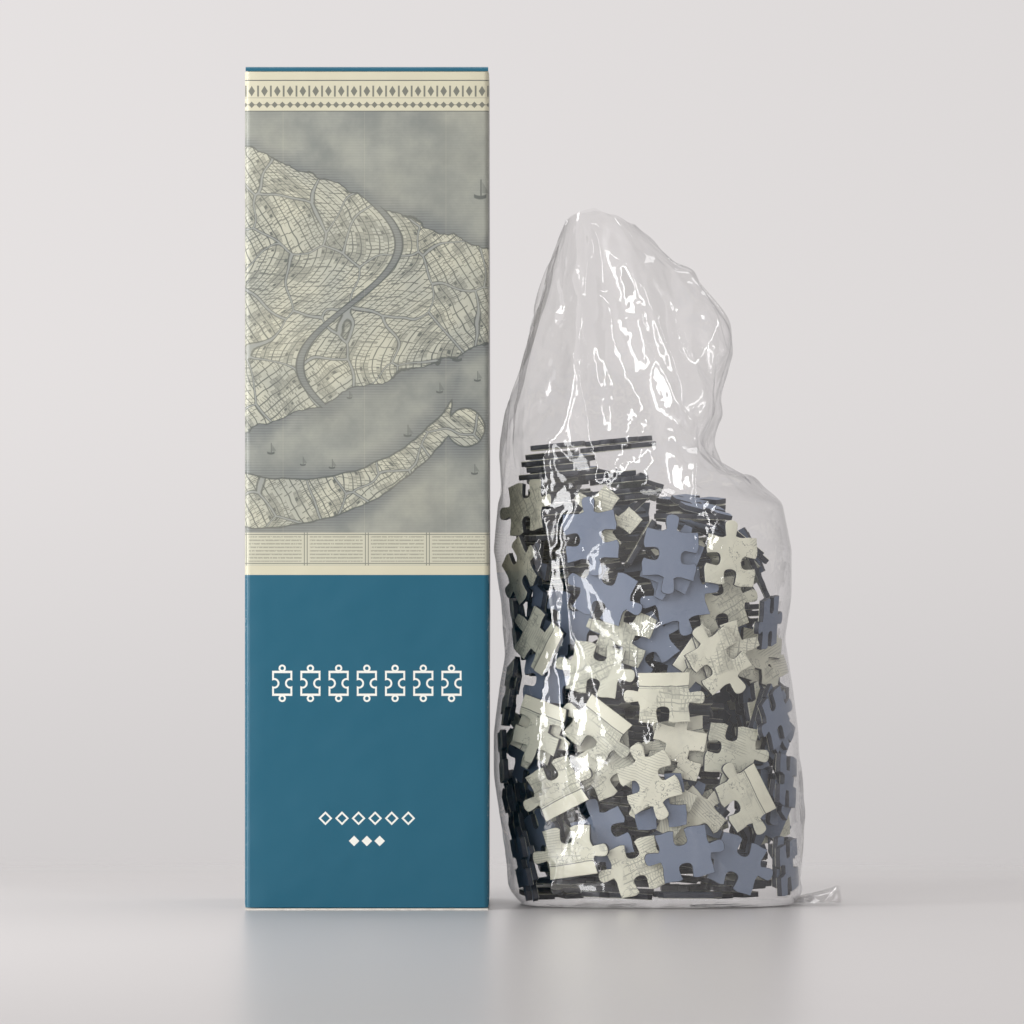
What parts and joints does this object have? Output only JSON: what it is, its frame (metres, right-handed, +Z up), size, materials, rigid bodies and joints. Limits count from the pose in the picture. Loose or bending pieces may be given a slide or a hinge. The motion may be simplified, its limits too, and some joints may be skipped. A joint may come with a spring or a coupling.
{
  "type": "boxed jigsaw puzzle",
  "caption": "Tall tuck-end carton with a printed map over a plain teal base, and a clear film bag full of loose jigsaw pieces standing beside it.",
  "frame": {"origin": "on the floor, under the middle of the whole set's box: the carton's centre is 61.5 mm to -X of it and the bag's centre 37.5 mm to +X", "axes": "+Z up, the carton's printed front faces -Y, the bag stands on the carton's +X side"},
  "size_m": [0.207, 0.084, 0.29],
  "materials": {
    "carton_print": "satin",
    "carton_lid_print": "satin",
    "carton_board": "matte",
    "clear_film": "gloss",
    "puzzle_print": "satin",
    "puzzle_backing": "matte",
    "puzzle_heap": "matte"
  },
  "bodies": {
    "carton": {"front_panel": "carton_print", "right_panel": "carton_print", "back_panel": "carton_print", "left_panel": "carton_print", "glue_flap": "carton_board"},
    "top_lid": {"top_lid": "carton_lid_print"},
    "top_tuck_flap": {"top_tuck_flap": "carton_lid_print"},
    "top_dust_flap_left": {"top_dust_flap_left": "carton_board"},
    "top_dust_flap_right": {"top_dust_flap_right": "carton_board"},
    "bottom_lid": {"bottom_lid": "carton_lid_print"},
    "bottom_tuck_flap": {"bottom_tuck_flap": "carton_lid_print"},
    "bottom_dust_flap_left": {"bottom_dust_flap_left": "carton_board"},
    "bottom_dust_flap_right": {"bottom_dust_flap_right": "carton_board"},
    "filled_bag": {"bag_film": "clear_film", "bag_bottom_seal": "clear_film", "loose_pieces_core": "puzzle_heap", "piece_print_01": "puzzle_print", "piece_print_02": "puzzle_print", "piece_print_03": "puzzle_print", "piece_print_04": "puzzle_print", "piece_print_05": "puzzle_print", "piece_print_06": "puzzle_print", "piece_print_07": "puzzle_print", "piece_print_08": "puzzle_print", "piece_print_09": "puzzle_print", "piece_print_10": "puzzle_print", "piece_print_11": "puzzle_print", "piece_print_12": "puzzle_print", "piece_print_13": "puzzle_print", "piece_print_14": "puzzle_print", "piece_print_15": "puzzle_print", "piece_print_16": "puzzle_print", "piece_print_17": "puzzle_print", "piece_back_01": "puzzle_backing", "piece_back_02": "puzzle_backing", "piece_back_03": "puzzle_backing", "piece_back_04": "puzzle_backing", "piece_back_05": "puzzle_backing", "piece_back_06": "puzzle_backing", "piece_back_07": "puzzle_backing", "piece_back_08": "puzzle_backing", "piece_back_09": "puzzle_backing", "piece_back_10": "puzzle_backing", "piece_back_11": "puzzle_backing", "piece_back_12": "puzzle_backing", "piece_back_13": "puzzle_backing", "piece_back_14": "puzzle_backing", "piece_back_15": "puzzle_backing", "piece_pile_01": "puzzle_backing", "piece_pile_02": "puzzle_backing", "piece_pile_03": "puzzle_backing", "piece_pile_04": "puzzle_backing", "piece_pile_05": "puzzle_backing", "piece_pile_06": "puzzle_backing", "piece_pile_07": "puzzle_backing", "piece_pile_08": "puzzle_backing", "piece_pile_09": "puzzle_backing", "piece_pile_10": "puzzle_backing"}
  },
  "joints": [
    {"name": "top_lid_crease", "type": "hinge", "parent": "carton", "child": "top_lid", "pos_m": [-0.0615, 0.042, 0.2894], "axis": [-1, 0, 0], "range_deg": [0, 200]},
    {"name": "top_tuck_crease", "type": "hinge", "parent": "top_lid", "child": "top_tuck_flap", "pos_m": [-0.0615, -0.0411, 0.2894], "axis": [-1, 0, 0], "range_deg": [0, 40]},
    {"name": "top_dust_crease_left", "type": "hinge", "parent": "carton", "child": "top_dust_flap_left", "pos_m": [-0.1035, 0, 0.2882], "axis": [0, -1, 0], "range_deg": [0, 90]},
    {"name": "top_dust_crease_right", "type": "hinge", "parent": "carton", "child": "top_dust_flap_right", "pos_m": [-0.0195, 0, 0.2882], "axis": [0, 1, 0], "range_deg": [0, 90]},
    {"name": "bottom_lid_crease", "type": "hinge", "parent": "carton", "child": "bottom_lid", "pos_m": [-0.0615, -0.042, 0.0006], "axis": [-1, 0, 0], "range_deg": [0, 200]},
    {"name": "bottom_tuck_crease", "type": "hinge", "parent": "bottom_lid", "child": "bottom_tuck_flap", "pos_m": [-0.0615, 0.0411, 0.0006], "axis": [-1, 0, 0], "range_deg": [0, 40]},
    {"name": "bottom_dust_crease_left", "type": "hinge", "parent": "carton", "child": "bottom_dust_flap_left", "pos_m": [-0.1035, 0, 0.0018], "axis": [0, 1, 0], "range_deg": [0, 90]},
    {"name": "bottom_dust_crease_right", "type": "hinge", "parent": "carton", "child": "bottom_dust_flap_right", "pos_m": [-0.0195, 0, 0.0018], "axis": [0, -1, 0], "range_deg": [0, 90]},
    {"name": "bag_lift", "type": "slide", "parent": "carton", "child": "filled_bag", "axis": [0, 0, 1], "range_m": [0, 0.34]}
  ],
  "couplings": [
    {"joint": "top_tuck_crease", "follows": "top_lid_crease", "ratio": 0.2},
    {"joint": "top_dust_crease_left", "follows": "top_lid_crease", "ratio": 0.45},
    {"joint": "top_dust_crease_right", "follows": "top_lid_crease", "ratio": 0.45},
    {"joint": "bottom_tuck_crease", "follows": "bottom_lid_crease", "ratio": 0.2},
    {"joint": "bottom_dust_crease_left", "follows": "bottom_lid_crease", "ratio": 0.45},
    {"joint": "bottom_dust_crease_right", "follows": "bottom_lid_crease", "ratio": 0.45}
  ]
}
